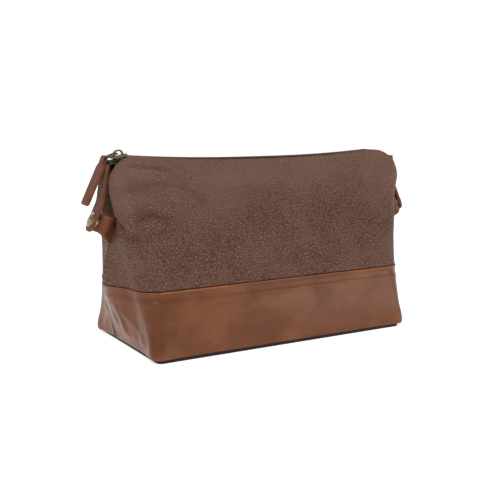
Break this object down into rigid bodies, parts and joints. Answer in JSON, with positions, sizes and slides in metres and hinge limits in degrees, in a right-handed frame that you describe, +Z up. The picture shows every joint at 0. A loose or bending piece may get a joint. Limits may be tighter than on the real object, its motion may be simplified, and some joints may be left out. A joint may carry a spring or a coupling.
{
  "type": "shaving kit bag",
  "caption": "Boxed-corner leather shaving kit bag with a pebbled upper, smooth lower band, top zip with a leather pull, and end straps snapped to side tabs.",
  "frame": {"origin": "on the floor, under the middle of the base", "axes": "+X along the bag towards the end where the zip finishes opening, -Y out of the front, +Z up"},
  "size_m": [0.3335, 0.1274, 0.1681],
  "materials": {
    "pebbled_leather": "pebbled cocoa brown, satin",
    "tan_leather": "smooth waxed chestnut, glossy",
    "base_leather": "smooth dark brown, satin",
    "trim_leather": "smooth reddish brown with raised edges, satin",
    "board": "pressed board, matte",
    "lining": "plain woven cotton, matte",
    "zip_tape": "woven tape, matte",
    "zip_metal": "aged brass, tumbled",
    "snap_metal": "antique brass, soft polish"
  },
  "bodies": {
    "bag": {"front_upper_panel": "pebbled_leather", "back_upper_panel": "pebbled_leather", "front_lower_band": "tan_leather", "back_lower_band": "tan_leather", "base_panel": "base_leather", "base_board": "board", "front_lining": "lining", "back_lining": "lining", "base_lining": "lining", "slip_pocket": "lining", "pocket_binding": "base_leather", "zip_tape_front": "zip_tape", "zip_tape_back": "zip_tape", "zip_teeth_front": "zip_metal", "zip_teeth_back": "zip_metal", "zip_top_stops": "zip_metal", "zip_bottom_stop": "zip_metal", "left_zip_end": "zip_tape", "right_zip_end": "zip_tape", "left_strap_face": "trim_leather", "left_strap_backing": "trim_leather", "left_snap_stud": "snap_metal", "left_snap_post": "snap_metal", "left_tab": "tan_leather", "right_strap_face": "trim_leather", "right_strap_backing": "trim_leather", "right_snap_stud": "snap_metal", "right_snap_post": "snap_metal", "right_tab": "tan_leather"},
    "zip_slider": {"slider_body": "zip_metal", "slider_bridge": "zip_metal"},
    "pull_link": {"pull_link": "zip_metal"},
    "zip_pull": {"pull_leather": "trim_leather"},
    "left_strap_end": {"left_strap_end_face": "trim_leather", "left_strap_end_backing": "trim_leather", "left_snap_cap": "snap_metal", "left_snap_socket": "snap_metal"},
    "right_strap_end": {"right_strap_end_face": "trim_leather", "right_strap_end_backing": "trim_leather", "right_snap_cap": "snap_metal", "right_snap_socket": "snap_metal"}
  },
  "joints": [
    {"name": "zip_slide", "type": "slide", "parent": "bag", "child": "zip_slider", "axis": [1, 0, 0], "range_m": [0, 0.235], "deforming": ["zip_teeth_front", "zip_teeth_back", "zip_tape_front", "zip_tape_back", "pull_leather"]},
    {"name": "link_swing", "type": "hinge", "parent": "zip_slider", "child": "pull_link", "pos_m": [-0.13069, 0, 0.16512], "axis": [0, 1, 0], "range_deg": [0, 170]},
    {"name": "pull_swing", "type": "hinge", "parent": "pull_link", "child": "zip_pull", "pos_m": [-0.14065, 0, 0.16149], "axis": [0, 1, 0], "range_deg": [0, 80]},
    {"name": "left_snap_strap", "type": "hinge", "parent": "bag", "child": "left_strap_end", "pos_m": [-0.14514, 0, 0.12594], "axis": [0, 1, 0], "range_deg": [0, 34]},
    {"name": "right_snap_strap", "type": "hinge", "parent": "bag", "child": "right_strap_end", "pos_m": [0.16114, 0, 0.12594], "axis": [0, -1, 0], "range_deg": [0, 80]}
  ],
  "couplings": [
    {"joint": "link_swing", "follows": "zip_slide", "rad_per_m": 12.477}
  ]
}
